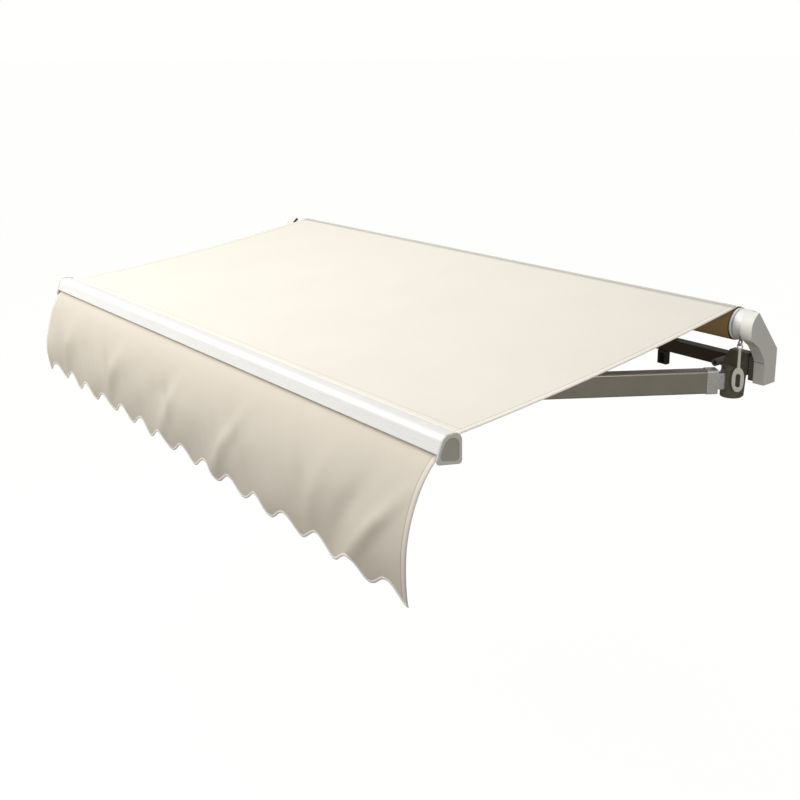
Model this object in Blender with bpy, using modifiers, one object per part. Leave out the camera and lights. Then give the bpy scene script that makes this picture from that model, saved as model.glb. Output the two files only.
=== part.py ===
"""Retractable folding-arm patio awning. Metres, +Z up, wall plane at y = 0, awning reaching out along -Y."""

from math import copysign
from math import cos
from math import pi
from math import radians
from math import sin
from math import sqrt

import bmesh
import bpy
from mathutils import Matrix
from mathutils import Vector

GAP = 0.0003
SIDES = {"left": -1, "right": 1}

CANOPY_HALF_WIDTH = 1.125
CANOPY_THICKNESS = 0.0016
CANOPY_SAG = 0.012

ROLLER_Y = -0.082
ROLLER_Z = 0.128
ROLL_RADIUS = 0.048
TUBE_RADIUS = 0.0425
TUBE_WALL = 0.0015
TUBE_HALF_LENGTH = 1.122

BAR_Y = -0.030
BAR_SIZE = 0.040
BAR_WALL = 0.0025
BAR_HALF_LENGTH = 1.201

WALL_BRACKET_X = 0.840

COVER_INNER_X = 1.1722
COVER_OUTER_X = 1.209
COVER_WALL = 0.0025

SHOULDER_X = 1.1211
SHOULDER_Y = -0.0849
DRUM_RADIUS = 0.032
ARM_Z = -0.043
REAR_ANGLE = radians(54.977)
REAR_RUN = 0.70000
REAR_START = 0.0813
REAR_HEIGHT = 0.070
REAR_WIDTH = 0.038
FRONT_ANGLE = radians(70.833)
FRONT_RUN = 0.43957
FRONT_HEIGHT = 0.060
FRONT_WIDTH = 0.034
ELBOW_OFFSET = 0.024
ARM_WALL = 0.0025

LEAD_BACK_Y = -1.143
LEAD_HALF_LENGTH = 1.128
LEAD_TOP_Z = 0.0615
CANOPY_GROOVE = (-0.011, 0.0515)
VALANCE_GROOVE = (-0.0587, 0.0268)
NOSE_Z = 0.0200
CAP_THICKNESS = 0.0065

VALANCE_Y = LEAD_BACK_Y + VALANCE_GROOVE[0]
VALANCE_TOP_Z = 0.0232
SLOT_RUN = 0.0065
VALANCE_ROWS = (0, 0.0180, 0.055, 0.14, 0.30, 0.52, 0.77, 1)
SCALLOPS = 15
SCALLOP_DEPTH = 0.038

CRANK_X = 1.161
CRANK_Y = -0.1155
CRANK_TURN = radians(35)
EYE_Z = -0.0270
WHEEL_TEETH = 20


def clean_scene():
    for item in list(bpy.data.objects):
        bpy.data.objects.remove(item, do_unlink=True)


def new_collection(name):
    group = bpy.data.collections.new(name)
    bpy.context.scene.collection.children.link(group)
    return group


def along_x(a, b, c):
    return (a, b, c)


def along_y(a, b, c):
    return (b, a, c)


def along_z(a, b, c):
    return (b, c, a)


def mirrored(place, side):
    def turned_over(a, b, c):
        x, y, z = place(a, b, c)
        return (side * x, y, z)

    return turned_over


def arc(centre, radius, start, end, steps):
    points = []
    for i in range(steps + 1):
        angle = radians(start + (end - start) * i / steps)
        points.append((centre[0] + radius * cos(angle), centre[1] + radius * sin(angle)))
    return points


def circle(centre, radius, steps=32):
    return arc(centre, radius, 0, 360, steps)[:-1]


def filleted(corners, steps=5):
    """Outline through (x, y, radius) corners, each corner rounded to its radius."""
    points = []
    count = len(corners)
    for i in range(count):
        x, y, radius = corners[i]
        corner = Vector((x, y))
        if radius <= 0:
            points.append((x, y))
            continue
        before = (Vector(corners[i - 1][:2]) - corner).normalized()
        after = (Vector(corners[(i + 1) % count][:2]) - corner).normalized()
        half = before.angle(after) / 2
        centre = corner + (before + after).normalized() * (radius / sin(half))
        start = corner + before * (radius / (sin(half) / cos(half)))
        end = corner + after * (radius / (sin(half) / cos(half)))
        first = start - centre
        last = end - centre
        sweep = first.angle_signed(last)
        for k in range(steps + 1):
            spoke = first.copy()
            spoke.rotate(Matrix.Rotation(-sweep * k / steps, 2))
            points.append(tuple(centre + spoke))
    return points


def rounded_box(width, height, radius, steps=4, centre=(0, 0)):
    w = width / 2
    h = height / 2
    x, y = centre
    corners = [(x - w, y - h, radius), (x + w, y - h, radius), (x + w, y + h, radius), (x - w, y + h, radius)]
    return filleted(corners, steps)


def hull_outline(points):
    """Convex outline round a set of flat points, in order."""
    ordered = sorted(set((round(x, 7), round(y, 7)) for x, y in points))
    chains = []
    for sequence in (ordered, ordered[::-1]):
        chain = []
        for p in sequence:
            while len(chain) > 1:
                ax = chain[-1][0] - chain[-2][0]
                ay = chain[-1][1] - chain[-2][1]
                if ax * (p[1] - chain[-2][1]) - ay * (p[0] - chain[-2][0]) > 0:
                    break
                chain.pop()
            chain.append(p)
        chains.append(chain[:-1])
    return chains[0] + chains[1]


def material(name, color, metallic, roughness):
    shader = bpy.data.materials.new(name)
    shader.use_nodes = True
    surface = shader.node_tree.nodes["Principled BSDF"]
    surface.inputs["Base Color"].default_value = (*color, 1)
    surface.inputs["Metallic"].default_value = metallic
    surface.inputs["Roughness"].default_value = roughness
    return shader


def add_object(name, shape, look=None, smooth=True):
    bmesh.ops.recalc_face_normals(shape, faces=shape.faces[:])
    if shape.calc_volume(signed=True) < 0:
        bmesh.ops.reverse_faces(shape, faces=shape.faces[:])
    mesh = bpy.data.meshes.new(name)
    shape.to_mesh(mesh)
    shape.free()
    item = bpy.data.objects.new(name, mesh)
    if look is None:
        CUTTERS.objects.link(item)
        item.hide_render = True
        item.display_type = "WIRE"
    else:
        PARTS.objects.link(item)
        mesh.materials.append(material(name, *look))
        for face in mesh.polygons:
            face.use_smooth = smooth
        if smooth:
            mesh.set_sharp_from_angle(angle=radians(32))
    return item


def prism(name, outline, place, low, high, look=None, holes=()):
    """A flat outline, with any holes, drawn out from low to high."""
    shape = bmesh.new()
    edges = []
    for loop in (outline, *holes):
        ring = [shape.verts.new(place(low, *point)) for point in loop]
        edges += [shape.edges.new((ring[i - 1], ring[i])) for i in range(len(ring))]
    if holes:
        filled = bmesh.ops.triangle_fill(shape, edges=edges, use_beauty=True)
        faces = [g for g in filled["geom"] if isinstance(g, bmesh.types.BMFace)]
    else:
        faces = bmesh.ops.contextual_create(shape, geom=edges)["faces"]
    drawn = bmesh.ops.extrude_face_region(shape, geom=faces)
    shift = Vector(place(high, 0, 0)) - Vector(place(low, 0, 0))
    moving = [g for g in drawn["geom"] if isinstance(g, bmesh.types.BMVert)]
    bmesh.ops.translate(shape, verts=moving, vec=shift)
    return add_object(name, shape, look)


def lathe(name, profile, place, look=None, steps=40):
    """A profile of (distance along the axis, radius) points, spun about the axis."""
    shape = bmesh.new()
    verts = [shape.verts.new((along, radius, 0)) for along, radius in profile]
    edges = [shape.edges.new((verts[i], verts[i + 1])) for i in range(len(verts) - 1)]
    if min(profile[0][1], profile[-1][1]) > 0:
        edges.append(shape.edges.new((verts[-1], verts[0])))
    bmesh.ops.spin(
        shape,
        geom=verts + edges,
        cent=(0, 0, 0),
        axis=(1, 0, 0),
        angle=2 * pi,
        steps=steps,
        use_merge=True,
    )
    bmesh.ops.remove_doubles(shape, verts=shape.verts[:], dist=0.00001)
    for vert in shape.verts:
        vert.co = Vector(place(*vert.co))
    return add_object(name, shape, look)


def torus(name, centre, major, minor, axis, look=None):
    shape = bmesh.new()
    count = 20
    ring = 8
    grid = []
    for i in range(count):
        turn = 2 * pi * i / count
        row = []
        for j in range(ring):
            swing = 2 * pi * j / ring
            out = major + minor * cos(swing)
            flat = (out * cos(turn), out * sin(turn), minor * sin(swing))
            spot = {"x": (flat[2], flat[0], flat[1]), "y": (flat[0], flat[2], flat[1])}[axis]
            row.append(shape.verts.new(Vector(spot) + Vector(centre)))
        grid.append(row)
    for i in range(count):
        for j in range(ring):
            a = grid[i - 1][j - 1]
            b = grid[i][j - 1]
            c = grid[i][j]
            d = grid[i - 1][j]
            shape.faces.new((a, b, c, d))
    return add_object(name, shape, look)


def combine(target, tool, operation):
    change = target.modifiers.new(tool.name, "BOOLEAN")
    change.operation = operation
    change.solver = "EXACT"
    change.object = tool


def cut(target, tool):
    combine(target, tool, "DIFFERENCE")


def unite(target, tool):
    combine(target, tool, "UNION")


def ease(item, width, segments=2, angle=40):
    bevel = item.modifiers.new("eased edges", "BEVEL")
    bevel.width = width
    bevel.segments = segments
    bevel.limit_method = "ANGLE"
    bevel.angle_limit = radians(angle)
    bevel.use_clamp_overlap = True


def hexagon(centre, across):
    return arc(centre, across / sqrt(3), 0, 360, 6)[:-1]


WHITE = ((0.86, 0.86, 0.84), 0.0, 0.35)
CREAM = ((0.87, 0.83, 0.74), 0.0, 0.9)
SAND = ((0.80, 0.75, 0.65), 0.0, 0.9)
GREY = ((0.34, 0.33, 0.29), 0.0, 0.45)
CAP_GREY = ((0.27, 0.26, 0.22), 0.0, 0.5)
DARK = ((0.05, 0.05, 0.045), 0.4, 0.5)
IRON = ((0.09, 0.085, 0.075), 0.5, 0.5)
OLIVE = ((0.19, 0.185, 0.16), 0.3, 0.45)
POLISHED = ((0.75, 0.75, 0.73), 1.0, 0.2)
STEEL = ((0.45, 0.45, 0.44), 1.0, 0.35)


def build_support():
    """Square bar, its wall brackets and the end plates that stand on it."""
    prism(
        "torsion_bar",
        rounded_box(BAR_SIZE, BAR_SIZE, 0.003, 3, (BAR_Y, 0)),
        along_x,
        -BAR_HALF_LENGTH,
        BAR_HALF_LENGTH,
        IRON,
        [rounded_box(BAR_SIZE - 2 * BAR_WALL, BAR_SIZE - 2 * BAR_WALL, 0.001, 2, (BAR_Y, 0))],
    )
    back = BAR_Y + BAR_SIZE / 2
    front = BAR_Y - BAR_SIZE / 2
    half = BAR_SIZE / 2
    for name, side in SIDES.items():
        place = mirrored(along_x, side)
        left = WALL_BRACKET_X - 0.0175
        right = WALL_BRACKET_X + 0.0175
        outline = [
            (0, -half - 0.004),
            (front + 0.016, -half - 0.004),
            (front + 0.016, -0.063),
            (front - 0.002, -0.063),
            (front - 0.002, -half - GAP),
            (back + GAP, -half - GAP),
            (back + GAP, half + GAP),
            (back - 0.022, half + GAP),
            (back - 0.022, half + 0.0055),
            (back + 0.003, half + 0.0055),
            (back + 0.003, 0.072),
            (0, 0.072),
        ]
        bracket = prism("wall_bracket_" + name, outline, place, left, right, DARK)
        pocket = rounded_box(0.0200, 0.0290, 0.002, 2, (side * WALL_BRACKET_X, -0.0425))
        cut(bracket, prism("bracket_pocket_" + name, pocket, along_y, front - 0.01, front + 0.0105))
        hole = circle((side * WALL_BRACKET_X, 0.052), 0.0052, 24)
        cut(bracket, prism("bracket_hole_" + name, hole, along_y, -0.02, 0.01))
        ease(bracket, 0.001)
        screw = lathe(
            "wall_screw_" + name,
            [(0.0002, 0), (0.0002, 0.0046), (0.0073, 0.0046), (0.0073, 0.009), (0.0135, 0.0082), (0.0135, 0)],
            lambda a, b, c, s=side: (s * WALL_BRACKET_X + c, -a, 0.052 + b),
            STEEL,
            24,
        )
        key = hexagon((side * WALL_BRACKET_X, 0.052), 0.006)
        cut(screw, prism("screw_socket_" + name, key, along_y, -0.02, -0.0095))


def cover_profile(inset):
    """Side outline of the end cover: an arc about the roller, running down to the box over the bar."""
    bulge = arc((ROLLER_Y, ROLLER_Z), 0.0555 - inset, 114, 212, 14)
    return [
        (-inset, -0.046 + inset),
        (-inset, 0.056 - inset * 0.4),
        *bulge,
        (-0.0950 + inset, 0.075),
        (-0.0730 + inset, 0.047),
        (-0.0600 + inset, 0.026),
        (-0.0572 + inset, 0.012),
        (-0.0572 + inset, -0.046 + inset),
    ]


def build_ends():
    half = BAR_SIZE / 2
    for name, side in SIDES.items():
        place = mirrored(along_x, side)
        cover = prism("end_cover_" + name, cover_profile(0), place, COVER_INNER_X, COVER_OUTER_X, GREY)
        hollow = prism(
            "cover_hollow_" + name,
            cover_profile(COVER_WALL),
            place,
            COVER_INNER_X - 0.01,
            COVER_OUTER_X - COVER_WALL,
        )
        cut(cover, hollow)
        ease(cover, 0.0012)
        seam = [(-0.0560, 0.0175), (-0.0640, 0.0215), (-0.0640, 0.0235), (-0.0560, 0.0195)]
        cut(cover, prism("cover_seam_" + name, seam, place, COVER_INNER_X - 0.01, COVER_OUTER_X - 0.004))

        plate_outline = [
            (-0.006, -0.030),
            (-0.006, 0.051),
            *arc((ROLLER_Y, ROLLER_Z), 0.045, 118, 212, 12),
            (-0.0880, 0.074),
            (-0.0665, 0.044),
            (-0.0540, 0.022),
            (-0.0540, -0.030),
        ]
        window = rounded_box(BAR_SIZE + 2 * GAP, BAR_SIZE + 2 * GAP, 0.003, 3, (BAR_Y, 0))
        bore = circle((ROLLER_Y, ROLLER_Z), 0.0064, 32)
        plate = prism("end_bracket_" + name, plate_outline, place, 1.1775, 1.1835, OLIVE, [window, bore])
        collar = rounded_box(0.0470, 0.0724, 0.003, 3, (BAR_Y, -0.0063))
        sleeve = prism("bracket_sleeve_" + name, collar, place, 1.1535, 1.1800, None, [window])
        unite(plate, sleeve)

        case_profile = [
            (1.1375, 0.0064),
            (1.1375, 0.0435),
            (1.1390, 0.0450),
            (1.1700, 0.0450),
            (1.1715, 0.0435),
            (1.1715, 0.0100),
            (1.1771, 0.0100),
            (1.1771, 0.0064),
            (1.1680, 0.0064),
            (1.1680, 0.0410),
            (1.1410, 0.0410),
            (1.1410, 0.0064),
        ]
        case = lathe(
            "gear_case" if side > 0 else "bearing_case",
            case_profile,
            lambda a, b, c, s=side: (s * a, ROLLER_Y + b, ROLLER_Z + c),
            WHITE,
            32,
        )
        if side > 0:
            cut(case, prism("crank_hole", circle((CRANK_X, CRANK_Y), 0.0048, 24), along_z, 0.05, 0.12))


def build_roller():
    about = lambda a, b, c: (a, ROLLER_Y + b, ROLLER_Z + c)
    half = TUBE_HALF_LENGTH
    lathe(
        "roller_tube",
        [
            (-half, TUBE_RADIUS - TUBE_WALL),
            (-half, TUBE_RADIUS),
            (half, TUBE_RADIUS),
            (half, TUBE_RADIUS - TUBE_WALL),
        ],
        about,
        STEEL,
        40,
    )
    lathe(
        "fabric_roll",
        [
            (-CANOPY_HALF_WIDTH, TUBE_RADIUS + GAP),
            (-CANOPY_HALF_WIDTH, ROLL_RADIUS),
            (CANOPY_HALF_WIDTH, ROLL_RADIUS),
            (CANOPY_HALF_WIDTH, TUBE_RADIUS + GAP),
        ],
        about,
        CREAM,
        48,
    )
    for name, side in SIDES.items():
        lathe(
            "roller_plug_" + name,
            [
                (1.080, 0),
                (1.080, 0.0402),
                (1.1224, 0.0402),
                (1.1224, 0.0370),
                (1.1278, 0.0370),
                (1.1278, 0.0460),
                (1.1288, 0.0470),
                (1.1318, 0.0470),
                (1.1328, 0.0460),
                (1.1328, 0.0120),
                (1.1368, 0.0120),
                (1.1368, 0.0060),
                (1.1830 if side < 0 else 1.1440, 0.0060),
                (1.1830 if side < 0 else 1.1440, 0),
            ],
            lambda a, b, c, s=side: (s * a, ROLLER_Y + b, ROLLER_Z + c),
            WHITE,
            28,
        )
    wheel_radius = abs(CRANK_Y - ROLLER_Y) - 0.0075
    outline = []
    for i in range(WHEEL_TEETH * 4):
        radius = wheel_radius if i % 4 in (0, 1) else wheel_radius - 0.0018
        angle = 2 * pi * i / (WHEEL_TEETH * 4)
        outline.append((ROLLER_Y + radius * cos(angle), ROLLER_Z + radius * sin(angle)))
    wheel = prism("worm_wheel", outline, along_x, CRANK_X - 0.0033, CRANK_X + 0.0033, STEEL)
    stub = lathe(
        "wheel_stub",
        [(1.1443, 0), (1.1443, 0.0060), (1.1830, 0.0060), (1.1830, 0)],
        lambda a, b, c: (a, ROLLER_Y + b, ROLLER_Z + c),
        None,
        32,
    )
    unite(wheel, stub)


def build_crank():
    upright = lambda a, b, c: (CRANK_X + b, CRANK_Y + c, a)
    worm = lathe(
        "worm",
        [
            (0.0895, 0),
            (0.0895, 0.0044),
            (0.1215, 0.0044),
            (0.1230, 0.0064),
            (0.1245, 0.0050),
            (0.1260, 0.0064),
            (0.1275, 0.0050),
            (0.1290, 0.0064),
            (0.1305, 0.0050),
            (0.1320, 0.0064),
            (0.1335, 0.0044),
            (0.1400, 0.0044),
            (0.1400, 0),
        ],
        upright,
        STEEL,
        20,
    )
    unite(worm, torus("worm_ring", (CRANK_X, CRANK_Y, 0.0835), 0.0078, 0.0024, "x"))

    def eye_place(a, b, c):
        x = CRANK_X + b * cos(CRANK_TURN) - a * sin(CRANK_TURN)
        y = CRANK_Y + b * sin(CRANK_TURN) + a * cos(CRANK_TURN)
        return (x, y, c)

    outline = []
    for i in range(36):
        turn = 2 * pi * i / 36
        wide = copysign(abs(cos(turn)) ** 0.88, cos(turn))
        tall = copysign(abs(sin(turn)) ** 0.88, sin(turn))
        outline.append((0.0172 * wide, EYE_Z + 0.0365 * tall))
    slot = rounded_box(0.0130, 0.0400, 0.0064, 6, (0, EYE_Z - 0.0020))
    pull = prism("crank_eye", outline, eye_place, -0.0038, 0.0038, WHITE, [slot])
    ease(pull, 0.0022, 2)
    unite(
        pull,
        lathe(
            "crank_rod",
            [(0.0030, 0), (0.0030, 0.0044), (0.0600, 0.0042), (0.0641, 0.0034), (0.0641, 0)],
            upright,
            None,
            24,
        ),
    )
    unite(pull, torus("crank_loop", (CRANK_X, CRANK_Y, 0.0726), 0.0082, 0.0024, "y"))


def arm_frames(side):
    """Places for the rear arm, measured from the shoulder, and the front arm, measured from its far pin."""
    shoulder = Vector((SHOULDER_X, SHOULDER_Y))
    rear_along = Vector((-cos(REAR_ANGLE), -sin(REAR_ANGLE)))
    rear_out = Vector((sin(REAR_ANGLE), -cos(REAR_ANGLE)))
    front_along = Vector((-cos(FRONT_ANGLE), sin(FRONT_ANGLE)))
    front_out = Vector((sin(FRONT_ANGLE), cos(FRONT_ANGLE)))
    elbow = shoulder + rear_along * REAR_RUN + rear_out * ELBOW_OFFSET
    tip = elbow - front_along * FRONT_RUN - front_out * ELBOW_OFFSET

    def rear_bar(a, b, c):
        spot = shoulder + rear_along * a + rear_out * b
        return (side * spot.x, spot.y, ARM_Z + c)

    def rear_flat(a, b, c):
        spot = shoulder + rear_along * b + rear_out * c
        return (side * spot.x, spot.y, ARM_Z + a)

    def front_bar(a, b, c):
        spot = tip + front_along * a + front_out * b
        return (side * spot.x, spot.y, ARM_Z + c)

    def front_flat(a, b, c):
        spot = tip + front_along * b + front_out * c
        return (side * spot.x, spot.y, ARM_Z + a)

    return rear_bar, rear_flat, front_bar, front_flat, elbow, tip


def arm_section(width, height, inset):
    return rounded_box(width - 2 * inset, height - 2 * inset, max(0.006 - inset, 0.002), 4)


def pin(name, place, low, high, radius, head, top_head):
    profile = [
        (low, 0),
        (low, head * 0.82),
        (low + 0.0015, head),
        (low + 0.0045, head),
        (low + 0.0045, radius),
        (high - 0.0045, radius),
        (high - 0.0045, top_head),
        (high - 0.0015, top_head),
        (high, top_head - 0.0015),
        (high, 0),
    ]
    return lathe(name, profile, place, STEEL, 20)


def build_shoulder(name, side):
    place = mirrored(along_x, side)
    level = mirrored(along_z, side)
    front = BAR_Y - BAR_SIZE / 2 - GAP
    back = BAR_Y + BAR_SIZE / 2 - 0.004
    half = BAR_SIZE / 2 + GAP
    clamp = [
        (back, half),
        (back, half + 0.009),
        (-0.0285, half + 0.0185),
        (-0.0560, half + 0.0185),
        (-0.0920, 0.0085),
        (-0.0920, -0.0890),
        (-0.0640, -0.0890),
        (front - 0.007, -half - 0.008),
        (back, -half - 0.008),
        (back, -half),
        (front, -half),
        (front, half),
    ]
    bracket = prism("shoulder_bracket_" + name, clamp, place, 1.0880, 1.1500, OLIVE)
    barrel = circle((SHOULDER_X, SHOULDER_Y), DRUM_RADIUS, 48)
    drum = prism("shoulder_drum_" + name, barrel, level, -0.0896, 0.0046)
    unite(bracket, drum)
    lug = lathe(
        "pitch_lug_" + name,
        [(-0.1185, 0), (-0.1185, 0.0108), (-0.0600, 0.0108), (-0.0600, 0)],
        lambda a, b, c, s=side: (s * 1.0812 + c, a, 0.0078 + b),
        None,
        28,
    )
    unite(bracket, lug)
    level_bore = circle((1.0812, 0.0078), 0.0062, 24)
    cut(bracket, prism("lug_bore_" + name, level_bore, mirrored(along_y, side), -0.13, -0.092))
    cavity = circle((SHOULDER_X, SHOULDER_Y), 0.0220, 40)
    cut(bracket, prism("knuckle_room_" + name, cavity, level, ARM_Z - 0.0263, ARM_Z + 0.0263))
    sweep = [(SHOULDER_X, SHOULDER_Y), *arc((SHOULDER_X, SHOULDER_Y), 0.062, 142, 272, 10)]
    cut(bracket, prism("arm_window_" + name, sweep, level, ARM_Z - 0.0263, ARM_Z + 0.0263))
    bore = circle((SHOULDER_X, SHOULDER_Y), 0.0084, 32)
    cut(bracket, prism("shoulder_bore_" + name, bore, level, -0.12, 0.0033))
    plate = prism(
        "clamp_plate_" + name,
        rounded_box(0.060, 0.056, 0.004, 3, (side * 1.1190, 0)),
        along_y,
        BAR_Y + BAR_SIZE / 2 + GAP,
        -0.0025,
        OLIVE,
    )
    ease(plate, 0.0008)
    spot = (side * 1.1130, -0.0090)
    face = SHOULDER_Y - DRUM_RADIUS - GAP
    prism("clamp_bolt_" + name, hexagon(spot, 0.013), along_y, face - 0.0062, face, STEEL)
    pin(
        "shoulder_pin_" + name,
        lambda a, b, c, s=side: (s * SHOULDER_X + b, SHOULDER_Y + c, a),
        -0.0963,
        0.0030,
        0.0080,
        0.0115,
        0.0079,
    )


def build_arm(name, side):
    rear_bar, rear_flat, front_bar, front_flat, elbow, tip = arm_frames(side)
    prism(
        "rear_arm_" + name,
        arm_section(REAR_WIDTH, REAR_HEIGHT, 0),
        rear_bar,
        REAR_START,
        REAR_RUN - 0.0453,
        OLIVE,
        [arm_section(REAR_WIDTH, REAR_HEIGHT, ARM_WALL)],
    )
    knuckle = prism("rear_knuckle_" + name, circle((0, 0), 0.0212, 36), rear_flat, -0.0257, 0.0257, POLISHED)
    neck = prism("rear_neck_" + name, rounded_box(0.024, 0.0496, 0.002, 2), rear_bar, 0.0100, 0.0560)
    unite(knuckle, neck)
    sleeve = arm_section(REAR_WIDTH + 0.003, REAR_HEIGHT + 0.003, 0)
    socket = prism("rear_socket_" + name, sleeve, rear_bar, 0.0480, REAR_START - GAP)
    unite(knuckle, socket)
    cut(knuckle, prism("rear_knuckle_bore_" + name, circle((0, 0), 0.0084, 32), rear_flat, -0.04, 0.04))

    end = REAR_RUN - 0.0450
    ear_points = circle((REAR_RUN, ELBOW_OFFSET), 0.0155, 28) + [(end + 0.012, -0.016), (end + 0.012, 0.0172)]
    ears = prism(
        "elbow_fork_" + name,
        hull_outline(ear_points),
        rear_flat,
        -REAR_HEIGHT / 2 + 0.0008,
        REAR_HEIGHT / 2 - 0.0008,
        POLISHED,
    )
    unite(
        ears,
        prism("fork_block_" + name, arm_section(REAR_WIDTH, REAR_HEIGHT, 0), rear_bar, end, end + 0.0185),
    )
    slot = [(end + 0.0190, -0.04), (end + 0.0190, 0.06), (end + 0.12, 0.06), (end + 0.12, -0.04)]
    cut(ears, prism("fork_slot_" + name, slot, rear_flat, -0.0233, 0.0233))
    bore = circle((REAR_RUN, ELBOW_OFFSET), 0.0064, 28)
    cut(ears, prism("fork_bore_" + name, bore, rear_flat, -0.05, 0.05))
    pin(
        "elbow_pin_" + name,
        lambda a, b, c, s=side: (s * elbow.x + b, elbow.y + c, ARM_Z + a),
        -0.0400,
        0.0400,
        0.0060,
        0.0095,
        0.0095,
    )

    far = FRONT_RUN - 0.0450
    tongue_points = circle((FRONT_RUN, ELBOW_OFFSET), 0.0145, 28)
    tongue_points += [(far + 0.012, -0.014), (far + 0.012, 0.0152)]
    tongue = prism("elbow_tongue_" + name, hull_outline(tongue_points), front_flat, -0.0230, 0.0230, POLISHED)
    block = arm_section(FRONT_WIDTH, FRONT_HEIGHT, 0)
    unite(tongue, prism("tongue_block_" + name, block, front_bar, far, far + 0.0185))
    cut(
        tongue,
        prism("tongue_bore_" + name, circle((FRONT_RUN, ELBOW_OFFSET), 0.0064, 28), front_flat, -0.05, 0.05),
    )
    prism(
        "front_arm_" + name,
        arm_section(FRONT_WIDTH, FRONT_HEIGHT, 0),
        front_bar,
        0.0453,
        far - GAP,
        OLIVE,
        [arm_section(FRONT_WIDTH, FRONT_HEIGHT, ARM_WALL)],
    )
    head_points = circle((0, 0), 0.0160, 28) + [(0.030, -0.0150), (0.030, 0.0150)]
    head = prism("front_knuckle_" + name, hull_outline(head_points), front_flat, -0.0300, 0.0300, POLISHED)
    unite(head, prism("head_block_" + name, block, front_bar, 0.0240, 0.0450))
    cut(head, prism("head_bore_" + name, circle((0, 0), 0.0062, 28), front_flat, -0.05, 0.05))
    pin(
        "front_pin_" + name,
        lambda a, b, c, s=side: (s * tip.x + b, tip.y + c, ARM_Z + a),
        -0.0462,
        0.0462,
        0.0060,
        0.0120,
        0.0120,
    )

    place = mirrored(along_x, side)
    level = mirrored(along_z, side)
    back = LEAD_BACK_Y + GAP
    outline = [
        (back, -0.0850),
        (back, 0.0380),
        (back + 0.007, 0.0380),
        (back + 0.007, -0.0850),
    ]
    holder = prism("arm_holder_" + name, outline, place, tip.x - 0.044, tip.x + 0.030, WHITE)
    for label, low in (("upper", -0.0127), ("lower", -0.0833)):
        ear = hull_outline(
            circle((tip.x, tip.y), 0.0165, 28)
            + circle((tip.x - 0.012, tip.y), 0.0165, 28)
            + [(tip.x - 0.034, back + 0.004), (tip.x + 0.024, back + 0.004)]
        )
        unite(holder, prism("holder_ear_" + label + "_" + name, ear, level, low, low + 0.0100))
    track = hull_outline(circle((tip.x, tip.y), 0.0063, 24) + circle((tip.x - 0.0121, tip.y), 0.0063, 24))
    cut(holder, prism("holder_track_" + name, track, level, -0.12, 0.03))
    for label, along in (("inner", -0.030), ("outer", 0.016)):
        spot = (side * (tip.x + along), 0.0200)
        lathe(
            "holder_screw_" + label + "_" + name,
            [(0.0003, 0), (0.0003, 0.0065), (0.0030, 0.0065), (0.0048, 0.0045), (0.0048, 0)],
            lambda a, b, c, p=spot: (p[0] + c, back + 0.007 + a, p[1] + b),
            STEEL,
            20,
        )


def lead_outline():
    """Front bar section, as (distance in front of the back face, height), with its two fabric grooves."""
    crown = Vector((-0.0525, LEAD_TOP_Z))
    toe = Vector((-0.0765, 0.0))
    slope = toe - crown
    normal = Vector((-slope.y, slope.x)).normalized()
    if normal.x > 0:
        normal = -normal
    nose = crown + slope * ((LEAD_TOP_Z - NOSE_Z) / LEAD_TOP_Z)
    points = []
    points += filleted([(-0.0545, -0.0045, 0.003), (0, -0.0155, 0.006), (0, LEAD_TOP_Z, 0.022)], 5)[6:12]
    back_arc = (-0.022, LEAD_TOP_Z - 0.022)
    points += arc(back_arc, 0.022, 0, 29.1, 4)
    points += arc(CANOPY_GROOVE, 0.0042, -16.6, -343.4, 18)
    points += arc(back_arc, 0.022, 37.2, 90, 6)
    points += filleted([(0, LEAD_TOP_Z, 0.022), (*crown, 0.020), (*toe, 0.006)], 6)[7:14]
    for height in (0.0436, 0.0338):
        start = crown + slope * ((LEAD_TOP_Z - height) / LEAD_TOP_Z)
        step = slope.normalized() * 0.0007
        points += [
            tuple(start - step),
            tuple(start - step * 0.7 - normal * 0.0009),
            tuple(start + step * 0.7 - normal * 0.0009),
            tuple(start + step),
        ]
    points += filleted([(*crown, 0.020), (*nose, 0.0015), (-0.0600, NOSE_Z, 0.0)], 3)[4:8]
    points.append((VALANCE_GROOVE[0] - 0.0013, NOSE_Z))
    points += arc(VALANCE_GROOVE, 0.0038, 250, -70, 18)
    points.append((VALANCE_GROOVE[0] + 0.0013, NOSE_Z))
    points.append((-0.0545, NOSE_Z - 0.0014))
    points += filleted([(-0.0545, NOSE_Z, 0.001), (-0.0545, -0.0045, 0.003), (0, -0.0155, 0.006)], 3)[4:8]
    return [(LEAD_BACK_Y + x, z) for x, z in points]


def lead_cavity():
    corners = [
        (-0.0030, -0.0113, 0.0015),
        (-0.0030, 0.0405, 0.0015),
        (-0.0190, 0.0405, 0.0015),
        (-0.0190, 0.0585, 0.0015),
        (-0.0500, 0.0585, 0.010),
        (-0.0600, 0.0335, 0.0015),
        (-0.0520, 0.0335, 0.0015),
        (-0.0520, -0.0015, 0.0015),
    ]
    return [(LEAD_BACK_Y + x, z) for x, z in filleted(corners, 3)]


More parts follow.
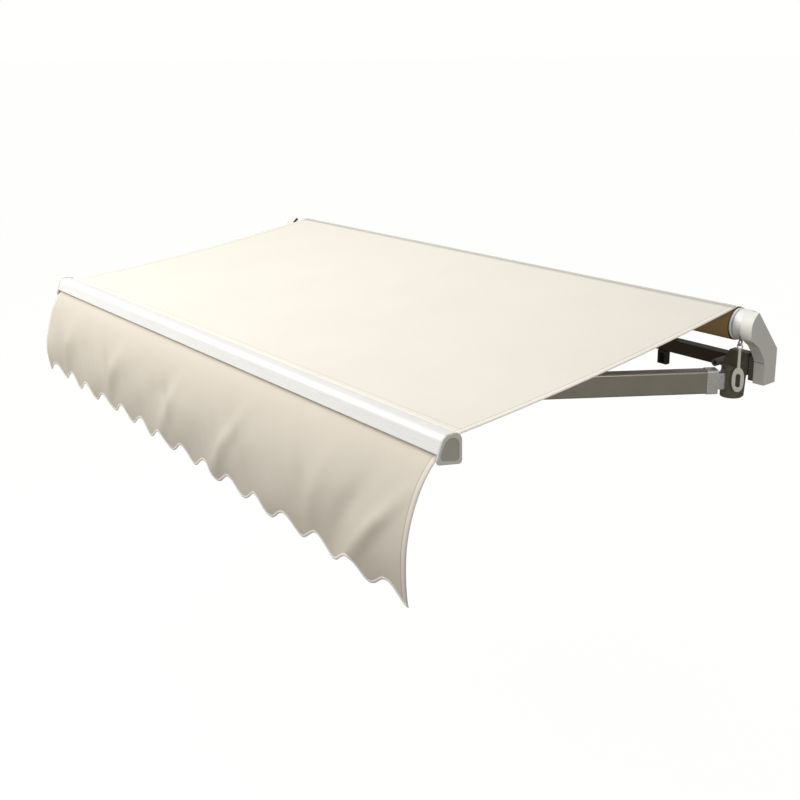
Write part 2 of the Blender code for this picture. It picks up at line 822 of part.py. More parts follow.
def build_front_bar():
    prism("front_bar", lead_outline(), along_x, -LEAD_HALF_LENGTH, LEAD_HALF_LENGTH, WHITE, [lead_cavity()])
    for name, side in SIDES.items():
        place = mirrored(along_x, side)

        def cap_outline(grow):
            corners = [
                (grow, -0.0155 - grow, 0.009),
                (grow, LEAD_TOP_Z + grow, 0.022),
                (-0.0525 - grow * 0.7, LEAD_TOP_Z + grow, 0.022),
                (-0.0765 - grow, -grow, 0.012),
            ]
            return [(LEAD_BACK_Y + x, z) for x, z in filleted(corners, 8)]

        inner = LEAD_HALF_LENGTH + GAP
        outer = inner + CAP_THICKNESS
        cap = prism("front_bar_cap_" + name, cap_outline(0.0012), place, inner, outer, CAP_GREY)
        ease(cap, 0.0022, 2, 60)
        cut(cap, prism("cap_recess_" + name, cap_outline(-0.0080), place, outer - 0.0022, outer + 0.01))
    half = CANOPY_HALF_WIDTH
    cords = [("canopy_keder", CANOPY_GROOVE, 0.0035), ("valance_keder", VALANCE_GROOVE, 0.0032)]
    for name, spot, radius in cords:
        lathe(
            name,
            [(-half, 0), (-half, radius), (half, radius), (half, 0)],
            lambda a, b, c, p=spot: (a, LEAD_BACK_Y + p[0] + b, p[1] + c),
            WHITE,
            18,
        )


def canopy_line():
    """Middle line of the canopy, from the roller to the front bar, as (y, z) points."""
    lift = ROLL_RADIUS + GAP + CANOPY_THICKNESS / 2
    lean = radians(9.0)
    start = Vector((ROLLER_Y - lift * sin(lean), ROLLER_Z + lift * cos(lean)))
    end = Vector((LEAD_BACK_Y - 0.0071, 0.0515))
    line = []
    for i in range(25):
        t = i / 24
        spot = start.lerp(end, t)
        line.append((spot.x, spot.y - 4 * CANOPY_SAG * t * (1 - t)))
    return line


def thickened(line, thickness):
    upper = []
    lower = []
    for i in range(len(line)):
        before = Vector(line[max(i - 1, 0)])
        after = Vector(line[min(i + 1, len(line) - 1)])
        run = (after - before).normalized()
        side = Vector((-run.y, run.x)) * thickness / 2
        upper.append(tuple(Vector(line[i]) + side))
        lower.append(tuple(Vector(line[i]) - side))
    return upper + lower[::-1]


def build_canopy():
    prism(
        "canopy",
        thickened(canopy_line(), CANOPY_THICKNESS),
        along_x,
        -CANOPY_HALF_WIDTH,
        CANOPY_HALF_WIDTH,
        CREAM,
    )


def valance_spot(x, t):
    """Middle of the valance, bowed a little forward: t = 0 at its groove and 1 at its scalloped hem."""
    share = x / CANOPY_HALF_WIDTH
    wave = 0.5 - 0.5 * cos(2 * pi * (x + CANOPY_HALF_WIDTH) * SCALLOPS / (2 * CANOPY_HALF_WIDTH))
    full = 0.327 + 0.0222 * share
    drop = full * t - SCALLOP_DEPTH * wave * max(0.0, (t - 0.25) / 0.75)
    down = max(drop - SLOT_RUN, 0) / (full - SLOT_RUN)
    bulge = (0.0865 + 0.0150 * share) * sin(pi * 0.62 * down**0.75)
    return Vector((x, VALANCE_Y - bulge, VALANCE_TOP_Z - drop))


def build_valance():
    shape = bmesh.new()
    columns = SCALLOPS * 6
    rows = len(VALANCE_ROWS) - 1
    half = 0.0008
    front = []
    back = []
    for i in range(columns + 1):
        x = -CANOPY_HALF_WIDTH + 2 * CANOPY_HALF_WIDTH * i / columns
        outer = []
        inner = []
        for j in range(rows + 1):
            t = VALANCE_ROWS[j]
            spot = valance_spot(x, t)
            ahead = valance_spot(x, min(t + 0.02, 1))
            behind = valance_spot(x, max(t - 0.02, 0))
            run = (ahead - behind).normalized()
            normal = Vector((0, run.z, -run.y))
            outer.append(shape.verts.new(spot + normal * half))
            inner.append(shape.verts.new(spot - normal * half))
        front.append(outer)
        back.append(inner)
    for grid in (front, back):
        for i in range(columns):
            for j in range(rows):
                shape.faces.new((grid[i][j], grid[i + 1][j], grid[i + 1][j + 1], grid[i][j + 1]))
    for i in range(columns):
        for j in (0, rows):
            shape.faces.new((front[i][j], front[i + 1][j], back[i + 1][j], back[i][j]))
    for i in (0, columns):
        for j in range(rows):
            shape.faces.new((front[i][j], front[i][j + 1], back[i][j + 1], back[i][j]))
    add_object("valance", shape, SAND)


def hang(label, point, names):
    """An empty on a joint's axis, carrying the pieces that turn there."""
    pivot = bpy.data.objects.new("pivot_" + label, None)
    PARTS.objects.link(pivot)
    pivot.location = point
    pivot.empty_display_size = 0.03
    for name in names:
        piece = bpy.data.objects[name]
        piece.parent = pivot
        piece.matrix_parent_inverse = Matrix.Translation(-Vector(point))


def build_pivots():
    for name, side in SIDES.items():
        elbow, tip = arm_frames(side)[4:]
        hang("shoulder_" + name, (side * SHOULDER_X, SHOULDER_Y, ARM_Z), [
            "rear_arm_" + name,
            "rear_knuckle_" + name,
            "elbow_fork_" + name,
            "elbow_pin_" + name,
        ])
        hang("elbow_" + name, (side * elbow.x, elbow.y, ARM_Z), [
            "elbow_tongue_" + name,
            "front_arm_" + name,
            "front_knuckle_" + name,
            "front_pin_" + name,
        ])
    tip = arm_frames(1)[5]
    carried = ["front_bar", "canopy_keder", "valance_keder", "valance"]
    for name in SIDES:
        carried += ["front_bar_cap_" + name, "arm_holder_" + name]
        carried += ["holder_screw_inner_" + name, "holder_screw_outer_" + name]
    hang("front_bar", (tip.x, tip.y, ARM_Z), carried)
    hang("roller", (0, ROLLER_Y, ROLLER_Z), [
        "roller_tube",
        "fabric_roll",
        "roller_plug_left",
        "roller_plug_right",
        "worm_wheel",
    ])
    hang("worm", (CRANK_X, CRANK_Y, 0.1), ["worm"])
    hang("crank", (CRANK_X, CRANK_Y, 0.0808), ["crank_eye"])


clean_scene()
PARTS = new_collection("canvas awning")
CUTTERS = new_collection("cutters")
build_support()
build_ends()
build_roller()
build_crank()
for side_name, side_sign in SIDES.items():
    build_shoulder(side_name, side_sign)
    build_arm(side_name, side_sign)
build_front_bar()
build_canopy()
build_valance()
build_pivots()
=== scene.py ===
from math import cos, exp, pi, radians, sin

import bmesh
import bpy
from mathutils import Matrix, Vector, noise


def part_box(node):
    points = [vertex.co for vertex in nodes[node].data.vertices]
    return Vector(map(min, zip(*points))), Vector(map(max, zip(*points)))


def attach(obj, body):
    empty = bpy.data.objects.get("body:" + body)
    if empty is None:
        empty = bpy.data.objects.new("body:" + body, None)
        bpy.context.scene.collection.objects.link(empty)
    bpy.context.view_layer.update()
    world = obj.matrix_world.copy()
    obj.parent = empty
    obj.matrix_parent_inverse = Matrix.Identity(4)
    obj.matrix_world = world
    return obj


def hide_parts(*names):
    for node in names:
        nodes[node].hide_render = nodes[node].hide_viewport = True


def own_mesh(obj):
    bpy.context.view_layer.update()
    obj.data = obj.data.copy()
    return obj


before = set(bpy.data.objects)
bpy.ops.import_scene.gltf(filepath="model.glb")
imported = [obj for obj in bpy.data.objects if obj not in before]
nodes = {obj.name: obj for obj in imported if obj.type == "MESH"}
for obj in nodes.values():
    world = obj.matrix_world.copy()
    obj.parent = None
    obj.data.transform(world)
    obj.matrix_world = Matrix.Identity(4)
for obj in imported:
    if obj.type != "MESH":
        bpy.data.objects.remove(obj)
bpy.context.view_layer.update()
print("frame loaded:", len(nodes), "nodes")


class Wire:
    def __init__(self, look, socket):
        self.look = look
        self.socket = socket

    def run(self, operation, *others):
        sockets = {i: other for i, other in enumerate((self, *others))}
        return self.look.node("ShaderNodeMath", {"operation": operation}, sockets)

    def __add__(self, other):
        return self.run("ADD", other)

    def __radd__(self, other):
        return self.run("ADD", other)

    def __sub__(self, other):
        return self.run("SUBTRACT", other)

    def __rsub__(self, other):
        return self.run("MULTIPLY", -1.0).run("ADD", other)

    def __mul__(self, other):
        return self.run("MULTIPLY", other)

    def __rmul__(self, other):
        return self.run("MULTIPLY", other)

    def least(self, other):
        return self.run("MINIMUM", other)

    def size(self):
        return self.run("ABSOLUTE")

    def wave(self):
        return self.run("SINE")

    def between(self, low, high):
        # 0 below low, 1 above high, smooth between them
        sockets = {0: self, 1: low, 2: high}
        return self.look.node("ShaderNodeMapRange", {"interpolation_type": "SMOOTHSTEP"}, sockets)


class Look:
    def __init__(self, name, metallic=0.0, roughness=0.5, **fixed):
        self.material = bpy.data.materials.new(name)
        self.material.use_nodes = True
        self.tree = self.material.node_tree
        self.shader = self.tree.nodes["Principled BSDF"]
        self.put("Metallic", metallic)
        self.put("Roughness", roughness)
        for label, value in fixed.items():
            self.put(label.replace("_", " "), value)

    def node(self, kind, settings=None, sockets=None, output=0):
        made = self.tree.nodes.new(kind)
        for label, value in (settings or {}).items():
            if label == "stops":
                ramp = made.color_ramp
                while len(ramp.elements) < len(value):
                    ramp.elements.new(0.5)
                for element, (spot, color) in zip(ramp.elements, value):
                    element.position = spot
                    element.color = (*color, 1)
            else:
                setattr(made, label, value)
        for label, value in (sockets or {}).items():
            if isinstance(value, Wire):
                self.tree.links.new(value.socket, made.inputs[label])
            else:
                made.inputs[label].default_value = value
        return Wire(self, made.outputs[output])

    def put(self, label, value):
        if isinstance(value, Wire):
            self.tree.links.new(value.socket, self.shader.inputs[label])
        elif label == "Base Color":
            self.shader.inputs[label].default_value = (*value, 1)
        else:
            self.shader.inputs[label].default_value = value

    def place(self, output="Object"):
        return self.node("ShaderNodeTexCoord", output=output)

    def axes(self, vector):
        split = self.node("ShaderNodeSeparateXYZ", sockets={0: vector})
        outputs = split.socket.node.outputs
        return [Wire(self, outputs[i]) for i in range(3)]

    def grain(self, vector, scale, detail=2.0, roughness=0.5):
        sockets = {"Vector": vector, "Scale": scale, "Detail": detail, "Roughness": roughness}
        return self.node("ShaderNodeTexNoise", {"normalize": True}, sockets)

    def stretched(self, vector, scale):
        return self.node("ShaderNodeMapping", sockets={"Vector": vector, "Scale": scale})

    def mix(self, share, first, second):
        def color(value):
            return value if isinstance(value, Wire) else (*value, 1)

        sockets = {0: share, 6: color(first), 7: color(second)}
        return self.node("ShaderNodeMix", {"data_type": "RGBA"}, sockets, output=2)

    def relief(self, height, distance, strength=1.0):
        sockets = {"Height": height, "Distance": distance, "Strength": strength}
        self.put("Normal", self.node("ShaderNodeBump", sockets=sockets))


view = {
    "place": (2.7785, -2.5808, 0.8756),
    "azimuth": 49.565,
    "down": 15.067,
    "roll": -0.32,
    "lens": 46.56,
    "shift": (-0.0612, -0.0823),
}
studio = {
    "floorHeight": -1.6,
    "floorSize": 700.0,
    "floorPale": 0.975,
    "floorShade": (0.27, 0.25, 0.21),
    "sky": 0.34,
    "skyWhite": 1.0,
}
lamps = [
    # name, place, aim, size, watts, color
    ("keyLamp", (-2.4, -3.9, 3.3), (0.0, -0.7, 0.0), 3.0, 190.0, (1.0, 0.985, 0.96)),
    ("topLamp", (-0.3, -1.5, 3.6), (0.0, -0.8, 0.1), 2.6, 44.0, (1.0, 0.99, 0.97)),
    ("sideLamp", (4.8, -2.4, 1.2), (0.9, -0.4, 0.0), 1.8, 34.0, (1.0, 1.0, 1.0)),
]


def makeCamera():
    data = bpy.data.cameras.new("photoCamera")
    data.sensor_fit = "HORIZONTAL"
    data.sensor_width = 36.0
    data.lens = view["lens"]
    data.shift_x, data.shift_y = view["shift"]
    data.clip_end = 2000.0
    item = bpy.data.objects.new("photoCamera", data)
    turn = Matrix.Rotation(radians(view["azimuth"]), 4, "Z")
    tip = Matrix.Rotation(radians(90 - view["down"]), 4, "X")
    roll = Matrix.Rotation(radians(view["roll"]), 4, "Z")
    item.matrix_world = Matrix.Translation(view["place"]) @ turn @ tip @ roll
    bpy.context.scene.collection.objects.link(item)
    bpy.context.scene.camera = item


def makeStudio():
    shape = bmesh.new()
    bmesh.ops.create_grid(shape, x_segments=1, y_segments=1, size=studio["floorSize"])
    bmesh.ops.translate(shape, verts=shape.verts[:], vec=(0, 0, studio["floorHeight"]))
    mesh = bpy.data.meshes.new("floor")
    shape.to_mesh(mesh)
    shape.free()
    ground = bpy.data.objects.new("floor", mesh)
    bpy.context.scene.collection.objects.link(ground)
    look = Look("paleFloor", roughness=0.95)
    look.put("Base Color", studio["floorShade"])
    seen = look.node("ShaderNodeLightPath")
    glowSockets = {"Color": (1, 1, 0.985, 1), "Strength": studio["floorPale"]}
    glow = look.node("ShaderNodeEmission", sockets=glowSockets)
    pale = look.node("ShaderNodeBsdfDiffuse", sockets={"Color": (0.05, 0.05, 0.05, 1)})
    both = look.node("ShaderNodeAddShader", sockets={0: glow, 1: pale})
    surface = Wire(look, look.shader.outputs[0])
    shown = look.node("ShaderNodeMixShader", sockets={0: seen, 1: surface, 2: both})
    output = look.tree.nodes["Material Output"]
    look.tree.links.new(shown.socket, output.inputs["Surface"])
    mesh.materials.append(look.material)

    world = bpy.data.worlds.new("softSky")
    bpy.context.scene.world = world
    world.use_nodes = True
    tree = world.node_tree
    sky = tree.nodes["Background"]
    sky.inputs["Color"].default_value = (1.0, 0.995, 0.98, 1)
    sky.inputs["Strength"].default_value = studio["sky"]
    white = tree.nodes.new("ShaderNodeBackground")
    white.inputs["Color"].default_value = (1.0, 1.0, 0.985, 1)
    white.inputs["Strength"].default_value = studio["skyWhite"]
    path = tree.nodes.new("ShaderNodeLightPath")
    pick = tree.nodes.new("ShaderNodeMixShader")
    tree.links.new(path.outputs["Is Camera Ray"], pick.inputs[0])
    tree.links.new(sky.outputs[0], pick.inputs[1])
    tree.links.new(white.outputs[0], pick.inputs[2])
    tree.links.new(pick.outputs[0], tree.nodes["World Output"].inputs["Surface"])

    for name, place, aim, size, watts, color in lamps:
        data = bpy.data.lights.new(name, "AREA")
        data.shape = "DISK"
        data.size = size
        data.energy = watts
        data.color = color
        lamp = bpy.data.objects.new(name, data)
        lamp.location = place
        lamp.rotation_mode = "QUATERNION"
        lamp.rotation_quaternion = (Vector(aim) - Vector(place)).to_track_quat("-Z", "Y")
        bpy.context.scene.collection.objects.link(lamp)
    bpy.context.scene.view_settings.view_transform = "Standard"


makeCamera()
makeStudio()
print("camera, floor and lamps in place")


canvas = {
    "pitch": 0.0008,
    "depth": 0.00006,
    "canopyColor": (0.90, 0.865, 0.79),
    # painted shade: the valance is the canopy's fabric painted darker for the weaker light on its
    # forward-facing cloth
    "valanceShadedColor": (0.74, 0.685, 0.595),
    # painted shade: the roll is the canopy's fabric painted a little darker for the shade under the
    # canopy
    "rollShadedColor": (0.80, 0.74, 0.63),
    # painted shade for the roll's lower laps, which lie in the canopy's shadow
    "rollPaintedShade": (0.40, 0.255, 0.10),
    "hemLift": 0.34,
    # painted shade: strength and colour of the dark lines painted along the hem crease and the seam
    "crease": 0.55,
    "seam": 0.30,
    "creaseShadeColor": (0.46, 0.38, 0.27),
    "bindingColor": (0.95, 0.94, 0.90),
    "threadColor": (0.62, 0.54, 0.42),
    "threadDark": (0.42, 0.35, 0.26),
}


def clothLook(name, color, halfWidth=None, hem=0.0, under=None, seam=None):
    look = Look(name, roughness=0.88, Sheen_Weight=0.12, Sheen_Roughness=0.6)
    cloth = look.place("UV")
    u, v, _ = look.axes(cloth)
    turn = 2 * pi / canvas["pitch"]
    warp = (u * turn).wave()
    weft = (v * turn).wave()
    weave = warp * weft * 0.5 + 0.5
    slubAcross = look.grain(look.stretched(cloth, (45, 900, 1)), 1.0, 1.0)
    slubAlong = look.grain(look.stretched(cloth, (900, 45, 1)), 1.0, 1.0)
    slub = slubAcross * 0.5 + slubAlong * 0.5
    cloud = look.grain(cloth, 3.2, 3.0, 0.55)
    dark = tuple(c * k for c, k in zip(color, (0.90, 0.885, 0.86)))
    light = tuple(min(1.0, c * 1.035) for c in color)
    shade = look.mix(slub * 0.6 + cloud * 0.4, dark, light)
    if hem:
        # the doubled cloth at the side hems lets less light through and reads paler
        edge = (u - halfWidth).size()
        band = edge.between(halfWidth - hem - 0.0006, halfWidth - hem + 0.0006)
        shade = look.mix(band * canvas["hemLift"], shade, (1.0, 0.97, 0.90))
        # painted shade: a dark line along the step where the side hem folds back
        crease = 1 - (edge - (halfWidth - hem)).size().between(0.0008, 0.0022)
        shade = look.mix(crease * canvas["crease"], shade, canvas["creaseShadeColor"])
    if seam:
        # painted shade: a dark line along the step of the sewn seam near the front
        sewn = 1 - (v - seam).size().between(0.0008, 0.0020)
        shade = look.mix(sewn * canvas["seam"], shade, canvas["creaseShadeColor"])
    if under:
        # painted shade: the laps of the roll that hang below it are painted dark brown where the
        # canopy's shadow falls
        below = v.between(0.035, 0.075) * (1 - v.between(0.285, 0.298))
        shade = look.mix(below, shade, under)
    look.put("Base Color", shade)
    look.put("Roughness", 0.82 + slub * 0.14)
    look.relief(weave * 0.6 + slub * 0.8, canvas["depth"])
    return look.material


def paintLook(name, color, roughness=0.34, speckle=0.03, peel=0.00004, coat=0.15):
    look = Look(name, Coat_Roughness=0.2)
    spot = look.place()
    cloud = look.grain(spot, 7.0, 3.0)
    fine = look.grain(spot, 900.0, 2.0)
    dark = tuple(c * (1 - 2 * speckle) for c in color)
    light = tuple(min(1.0, c * (1 + speckle)) for c in color)
    look.put("Base Color", look.mix(cloud * 0.7 + fine * 0.3, dark, light))
    look.put("Roughness", roughness + cloud * 0.08 + fine * 0.05)
    look.put("Coat Weight", coat)
    look.relief(fine, peel)
    return look.material


def plasticLook(name, color, roughness=0.42, stipple=0.00006):
    look = Look(name)
    spot = look.place()
    cloud = look.grain(spot, 11.0, 3.0)
    pits = look.node("ShaderNodeTexVoronoi", {"feature": "SMOOTH_F1"}, {"Vector": spot, "Scale": 1400.0})
    fine = look.grain(spot, 520.0, 2.0)
    dark = tuple(c * 0.94 for c in color)
    light = tuple(min(1.0, c * 1.03) for c in color)
    look.put("Base Color", look.mix(cloud, dark, light))
    look.put("Roughness", roughness + fine * 0.10)
    look.relief(pits * 0.6 + fine * 0.4, stipple)
    return look.material


def castLook(name, color, metallic=0.55, roughness=0.48, depth=0.00014):
    look = Look(name, metallic=metallic)
    spot = look.place()
    sand = look.grain(spot, 420.0, 3.0, 0.6)
    cloud = look.grain(spot, 22.0, 4.0, 0.6)
    dark = tuple(c * 0.80 for c in color)
    light = tuple(min(1.0, c * 1.20) for c in color)
    look.put("Base Color", look.mix(cloud * 0.7 + sand * 0.3, dark, light))
    look.put("Roughness", roughness + sand * 0.16 - cloud * 0.06)
    look.relief(sand, depth)
    return look.material


def drawnLook(name, color, along, metallic=0.9, roughness=0.30, depth=0.00002):
    # metal with fine lines along its length, as drawing or polishing leaves them
    look = Look(name, metallic=metallic)
    spot = look.place()
    lines = look.grain(look.stretched(spot, along), 1.0, 2.0)
    cloud = look.grain(spot, 16.0, 3.0)
    dark = tuple(c * 0.86 for c in color)
    light = tuple(min(1.0, c * 1.08) for c in color)
    look.put("Base Color", look.mix(lines * 0.5 + cloud * 0.5, dark, light))
    look.put("Roughness", roughness + lines * 0.10 + cloud * 0.05)
    look.relief(lines, depth)
    return look.material


capColors = {
    "rim": (0.80, 0.80, 0.75),
    "panel": (0.52, 0.51, 0.45),
    "panelDepth": 0.0011,
    "inset": 0.0072,
}


def capLook():
    look = Look("cappedGrey")
    spot = look.place()
    x, y, z = look.axes(spot)
    low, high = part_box("front_bar_cap_right")
    deep = x.size().between(high.x - capColors["panelDepth"] - 0.0006, high.x - capColors["panelDepth"])
    fromBack = (y * -1.0) + high.y
    fromBelow = z - low.z
    fromFront = (y - low.y) * 0.937 - (z - low.z) * 0.349
    inside = fromBack.least(fromBelow).least(fromFront + 0.008)
    panel = inside.between(capColors["inset"] - 0.0004, capColors["inset"] + 0.0004) * (1 - deep)
    fine = look.grain(spot, 520.0, 2.0)
    cloud = look.grain(spot, 30.0, 3.0)
    rim = look.mix(cloud, tuple(c * 0.94 for c in capColors["rim"]), capColors["rim"])
    core = look.mix(cloud, tuple(c * 0.92 for c in capColors["panel"]), capColors["panel"])
    look.put("Base Color", look.mix(panel, rim, core))
    look.put("Roughness", 0.40 + fine * 0.12)
    look.relief(fine, 0.00005)
    return look.material


looks = {
    "whitePaint": paintLook("whitePaint", (0.93, 0.93, 0.915)),
    "crankWhite": plasticLook("crankWhite", (0.95, 0.94, 0.88), 0.30),
    "whitePlastic": plasticLook("whitePlastic", (0.96, 0.97, 0.96), 0.34),
    "coverPlastic": plasticLook("coverPlastic", (0.85, 0.85, 0.79), 0.40),
    "barPaint": paintLook("barPaint", (0.045, 0.027, 0.010), 0.42, 0.10, 0.00005, 0.05),
    "bracketPaint": paintLook("bracketPaint", (0.030, 0.026, 0.018), 0.42, 0.08, 0.00005, 0.10),
    "castPaint": castLook("castPaint", (0.190, 0.180, 0.140), 0.30, 0.40),
    "armPaint": drawnLook("armPaint", (0.50, 0.48, 0.415), (700, 700, 40), 0.60, 0.28),
    "polished": drawnLook("polishedAluminium", (0.93, 0.93, 0.90), (60, 60, 900), 0.45, 0.20),
    "zinc": castLook("zincSteel", (0.52, 0.52, 0.50), 1.0, 0.30, 0.00005),
    "cap": capLook(),
}
wears = {
    "whitePaint": ["front_bar", "arm_holder_left", "arm_holder_right"],
    "crankWhite": ["crank_eye"],
    "whitePlastic": [
        "gear_case",
        "bearing_case",
        "roller_plug_left",
        "roller_plug_right",
        "canopy_keder",
        "valance_keder",
    ],
    "coverPlastic": ["end_cover_left", "end_cover_right"],
    "cap": ["front_bar_cap_left", "front_bar_cap_right"],
    "barPaint": ["torsion_bar"],
    "bracketPaint": ["wall_bracket_left", "wall_bracket_right"],
    "castPaint": [
        kind + side
        for kind in ("end_bracket_", "shoulder_bracket_", "clamp_plate_")
        for side in ("left", "right")
    ],
    "armPaint": [kind + side for kind in ("rear_arm_", "front_arm_") for side in ("left", "right")],
    "polished": [
        kind + side
        for kind in ("rear_knuckle_", "elbow_fork_", "elbow_tongue_", "front_knuckle_")
        for side in ("left", "right")
    ],
}


def dressNodes():
    dressed = {name: look for look, names in wears.items() for name in names}
    for name, item in nodes.items():
        look = looks[dressed.get(name, "zinc")]
        item.data.materials.clear()
        item.data.materials.append(look)


dressNodes()
print("materials on", len(nodes), "nodes")


awning = {
    "halfWidth": 1.125,
    "rollY": -0.082,
    "rollZ": 0.128,
    "rollRadius": 0.048,
    "lift": 0.0011,
    "lean": 9.0,
    "frontY": -1.1501,
    "frontZ": 0.0515,
    "sag": 0.012,
    "length": 1.069,
    "seamRow": 0.028,
    "hem": 0.0205,
    "hemRise": 0.0004,
    "cloth": 0.0010,
    "fold": "right_shoulder",
    "gatherY": -0.119,
    "keep": 0.0686,
}


def finishPiece(name, shape, look, modifiers=()):
    mesh = bpy.data.meshes.new(name)
    shape.to_mesh(mesh)
    shape.free()
    for face in mesh.polygons:
        face.use_smooth = True
    mesh.materials.append(look)
    item = bpy.data.objects.new(name, mesh)
    bpy.context.scene.collection.objects.link(item)
    for kind, settings in modifiers:
        change = item.modifiers.new(kind.lower(), kind)
        for label, value in settings.items():
            setattr(change, label, value)
    return item


def clothShape(across, along, place, flat):
    # a grid of cloth laid out by place(u, v); its UV map is the flat cloth in metres
    columns = len(across) - 1
    rows = len(along) - 1
    shape = bmesh.new()
    layer = shape.loops.layers.uv.new("UVMap")
    bmesh.ops.create_grid(shape, x_segments=columns, y_segments=rows, size=0.5, calc_uvs=True)
    shape.verts.index_update()
    spots = {}
    for vert in shape.verts:
        i = round((vert.co.x + 0.5) * columns)
        j = round((vert.co.y + 0.5) * rows)
        spots[vert.index] = (across[i], along[j])
    for face in shape.faces:
        for loop in face.loops:
            loop[layer].uv = flat(*spots[loop.vert.index])
    for vert in shape.verts:
        vert.co = place(*spots[vert.index])
    bmesh.ops.recalc_face_normals(shape, faces=shape.faces[:])
    return shape


def spaced(low, high, count):
    return [low + (high - low) * i / count for i in range(count + 1)]


def canopySpot(x, t):
    lift = awning["rollRadius"] + awning["lift"]
    lean = radians(awning["lean"])
    backY = awning["rollY"] - lift * sin(lean)
    backZ = awning["rollZ"] + lift * cos(lean)
    y = backY + (awning["frontY"] - backY) * t
    z = backZ + (awning["frontZ"] - backZ) * t - 4 * awning["sag"] * t * (1 - t)
    slack = 4 * t * (1 - t)
    share = x / awning["halfWidth"]
    ripple = 0.0012 * sin(9.0 * share + 1.3 * t) + 0.0009 * noise.noise(Vector((x * 2.1, t * 1.4, 3.7)))
    z += slack * (ripple - 0.0022 * (1 - share * share))
    # side hems of doubled cloth
    if abs(x) > awning["halfWidth"] - awning["hem"]:
        z += awning["hemRise"]
    return Vector((x, y, z))


def clothNormal(spot, x, t):
    step = 0.003
    middle = min(max(t, step), 1 - step)
    across = spot(x + step, middle) - spot(x - step, middle)
    down = spot(x, middle + step) - spot(x, middle - step)
    return down.cross(across).normalized()


def makeCanopy():
    half = awning["halfWidth"]
    across = [-half, -half + 0.010, -half + 0.0200, -half + 0.0210]
    across += spaced(-half + 0.03, half - 0.03, 96)
    across += [half - 0.0210, half - 0.0200, half - 0.010, half]
    along = spaced(0, 1, 56)
    shape = clothShape(across, along, canopySpot, lambda x, t: (x + half, t * awning["length"]))
    seam = awning["length"] - awning["seamRow"]
    look = clothLook("canopyCloth", canvas["canopyColor"], half, awning["hem"], seam=seam)
    solid = {"thickness": awning["cloth"], "offset": 0.0, "use_even_offset": False}
    return finishPiece("canopyCloth", shape, look, [("SOLIDIFY", solid)])


def squashWithFold(piece):
    start = canopySpot(0, 0)
    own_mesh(piece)


canopy = makeCanopy()
print("canopy made")

valance = {
    "topY": -1.2017,
    "topZ": 0.0232,
    "slot": 0.0110,
    "height": 0.327,
    "slant": 0.0222,
    "scallops": 15,
    "scallopDepth": 0.038,
    "bulge": 0.0865,
    "bulgeSlant": 0.0150,
    "curl": 0.62,
    "curlRate": 0.75,
    "foldShare": 0.72,
    "cloth": 0.0010,
    "hem": 0.018,
    "flat": 0.350,
}
folds = [
    # where it starts under the bar, lean as it falls, half width, depth
    (1.16, -0.85, 0.030, 0.0150),
    (1.00, -0.60, 0.045, -0.0130),
    (0.80, -0.30, 0.040, 0.0100),
    (0.60, 0.40, 0.036, -0.0085),
    (0.42, -0.70, 0.034, 0.0120),
    (0.22, 0.60, 0.040, -0.0100),
    (0.02, -0.55, 0.036, 0.0110),
    (-0.20, 0.50, 0.034, -0.0085),
    (-0.42, -0.50, 0.040, 0.0100),
    (-0.66, 0.45, 0.036, -0.0080),
    (-0.86, -0.30, 0.040, 0.0085),
    (-1.04, 0.20, 0.030, -0.0070),
]


def valanceSpot(x, t):
    half = awning["halfWidth"]
    share = x / half
    wave = 0.5 - 0.5 * cos(2 * pi * (x + half) * valance["scallops"] / (2 * half))
    full = valance["height"] + valance["slant"] * share
    drop = full * t - valance["scallopDepth"] * wave * max(0.0, (t - 0.25) / 0.75)
    down = max(drop - valance["slot"], 0) / (full - valance["slot"])
    curl = sin(pi * valance["curl"] * down ** valance["curlRate"])
    bulge = (valance["bulge"] + valance["bulgeSlant"] * share) * curl
    loose = down * down * (3 - 2 * down)
    fold = 0.0060 * noise.noise(Vector((x * 5.2 + drop * 6.0, drop * 3.0, 1.7)))
    fold += 0.0035 * noise.noise(Vector((x * 13.0 - drop * 5.0, drop * 5.0, 8.1)))
    fade = 1 - 0.65 * max(0.0, (down - 0.55) / 0.45)
    for start, lean, width, depth in folds:
        fold += valance["foldShare"] * fade * depth * exp(-(((x - start - lean * drop) / width) ** 2))
    return Vector((x, valance["topY"] - bulge - fold * min(1.0, loose * 2.2), valance["topZ"] - drop))


def makeValance():
    half = awning["halfWidth"]
    across = spaced(-half, half, valance["scallops"] * 16)
    along = [0, 0.009, 0.018, 0.030, 0.045] + spaced(0.065, 1, 34)
    shape = clothShape(across, along, valanceSpot, lambda x, t: (x + half, t * valance["flat"]))
    look = clothLook("valanceCloth", canvas["valanceShadedColor"], half, valance["hem"])
    solid = {"thickness": valance["cloth"], "offset": 0.0, "use_even_offset": False}
    return finishPiece("valanceCloth", shape, look, [("SOLIDIFY", solid)])


def hemFrame(x):
    # the scalloped edge at x: its spot, the cloth's normal there and the way out of the cloth
    step = 0.001
    run = (valanceSpot(x + step, 1) - valanceSpot(x - step, 1)).normalized()
    normal = clothNormal(valanceSpot, x, 1)
    return valanceSpot(x, 1), normal, run.cross(normal).normalized()


def bindingMiddle(x):
    edge, normal, out = hemFrame(x)
    return edge - out * (binding["width"] / 2 - binding["overhang"]), normal, out


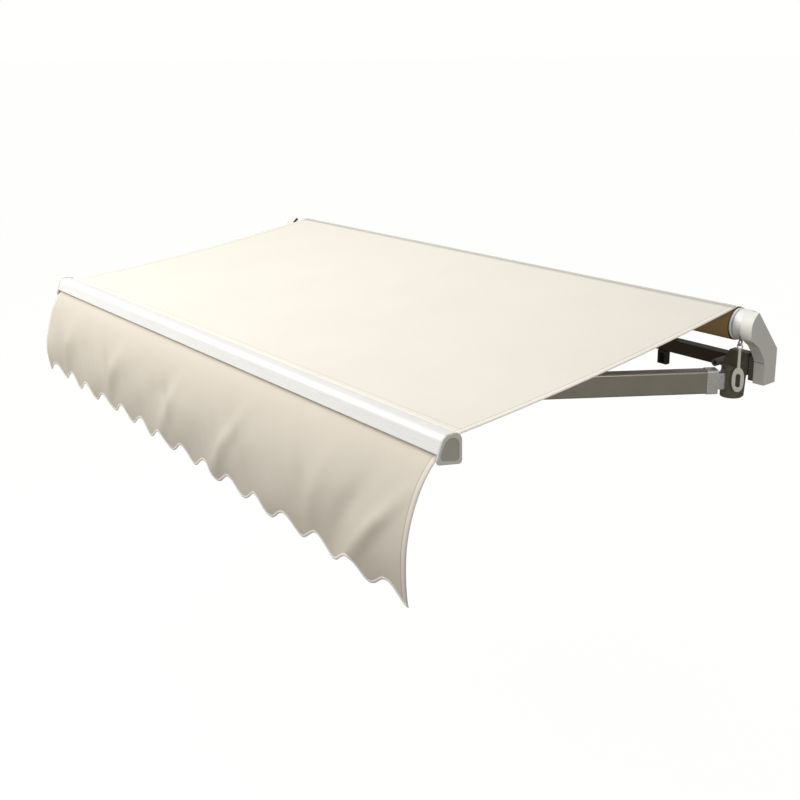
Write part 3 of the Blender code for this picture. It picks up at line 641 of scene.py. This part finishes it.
def makeBinding():
    half = awning["halfWidth"]

    def place(x, turn):
        middle, normal, out = bindingMiddle(x)
        angle = 2 * pi * turn
        across = out * (binding["width"] / 2 * cos(angle))
        return middle + across + normal * (binding["thick"] / 2 * sin(angle))

    columns = spaced(-half, half, valance["scallops"] * binding["columns"])
    turns = spaced(0, 1, binding["sides"])
    shape = clothShape(columns, turns, place, lambda x, turn: (x, turn * binding["girth"]))
    bmesh.ops.remove_doubles(shape, verts=shape.verts[:], dist=0.00001)
    bmesh.ops.holes_fill(shape, edges=shape.edges[:], sides=0)
    bmesh.ops.recalc_face_normals(shape, faces=shape.faces[:])
    return finishPiece("valanceBinding", shape, clothLook("bindingCloth", canvas["bindingColor"]))


def threadLook():
    look = Look("sewingThread", roughness=0.7)
    spot = look.place()
    twist = look.grain(spot, 1800.0, 1.0)
    look.put("Base Color", look.mix(twist, canvas["threadDark"], canvas["threadColor"]))
    return look.material


def makeStitches(name, path):
    # small beads of thread laid end to end along a path of (spot, normal) pairs
    shape = bmesh.new()
    ahead = 0.0
    for (start, normal), (end, _) in zip(path, path[1:]):
        run = end - start
        along = run.normalized()
        side = normal.cross(along).normalized()
        bead = Matrix((along * stitch["long"], side * stitch["wide"], normal * stitch["high"]))
        turn = bead.transposed().to_4x4()
        while ahead < run.length:
            spot = Matrix.Translation(start + along * ahead)
            bmesh.ops.create_icosphere(shape, subdivisions=1, radius=0.5, matrix=spot @ turn)
            ahead += stitch["pitch"]
        ahead -= run.length
    return finishPiece(name, shape, looks["thread"])


def sewnPath(spot, points):
    return [(spot(x, t), clothNormal(spot, x, t)) for x, t in points]


binding = {
    "width": 0.0078,
    "thick": 0.0028,
    "overhang": 0.0006,
    "girth": 0.012,
    "columns": 20,
    "sides": 12,
}
stitch = {
    "pitch": 0.0042,
    "long": 0.0031,
    "wide": 0.0009,
    "high": 0.0021,
    "canopyRow": 0.0185,
    "endGap": 0.004,
}
looks["thread"] = threadLook()
valanceCloth = makeValance()
valanceBinding = makeBinding()
sewnHalf = awning["halfWidth"] - stitch["endGap"]
canopyRows = []
valanceRows = [
    makeStitches("valanceStitchesHem", [bindingMiddle(x)[:2] for x in spaced(-sewnHalf, sewnHalf, 450)]),
]
for label, side in (("Left", -1), ("Right", 1)):
    canopyX = side * (awning["halfWidth"] - stitch["canopyRow"])
    canopyRow = sewnPath(canopySpot, [(canopyX, t) for t in spaced(0.0, 0.985, 60)])
    canopyRows.append(makeStitches("canopyStitches" + label, canopyRow))
    valanceX = side * (awning["halfWidth"] - valance["hem"])
    valanceRow = sewnPath(valanceSpot, [(valanceX, t) for t in spaced(0.04, 0.98, 60)])
    valanceRows.append(makeStitches("valanceStitches" + label, valanceRow))
print("valance, binding and stitches made")


rollCloth = {
    "lap": 0.0012,
    "girth": 0.30,
    "columns": 24,
    "steps": 96,
}


def makeRoll():
    half = awning["halfWidth"]
    look = clothLook("rollCloth", canvas["rollShadedColor"], under=canvas["rollPaintedShade"])
    lean = radians(awning["lean"])

    def place(x, turn):
        # one turn of a spiral, so that the outer lap runs on into the canopy
        radius = awning["rollRadius"] + rollCloth["lap"] - rollCloth["lap"] * turn
        angle = lean - 2 * pi * turn
        return Vector((x, awning["rollY"] - radius * sin(angle), awning["rollZ"] + radius * cos(angle)))

    columns = spaced(-half, half, rollCloth["columns"])
    turns = spaced(0, 1, rollCloth["steps"])
    shape = clothShape(columns, turns, place, lambda x, t: (x + half, t * rollCloth["girth"]))
    return finishPiece("fabricRoll", shape, look)


roll = makeRoll()
print("roll made")

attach(canopy, "frame")
squashWithFold(canopy)
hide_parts("canopy")
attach(valanceCloth, "front_bar")
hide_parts("valance")
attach(roll, "roller")
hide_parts("fabric_roll")
for row in canopyRows:
    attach(row, "frame")
    squashWithFold(row)
for trim in (valanceBinding, *valanceRows):
    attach(trim, "front_bar")
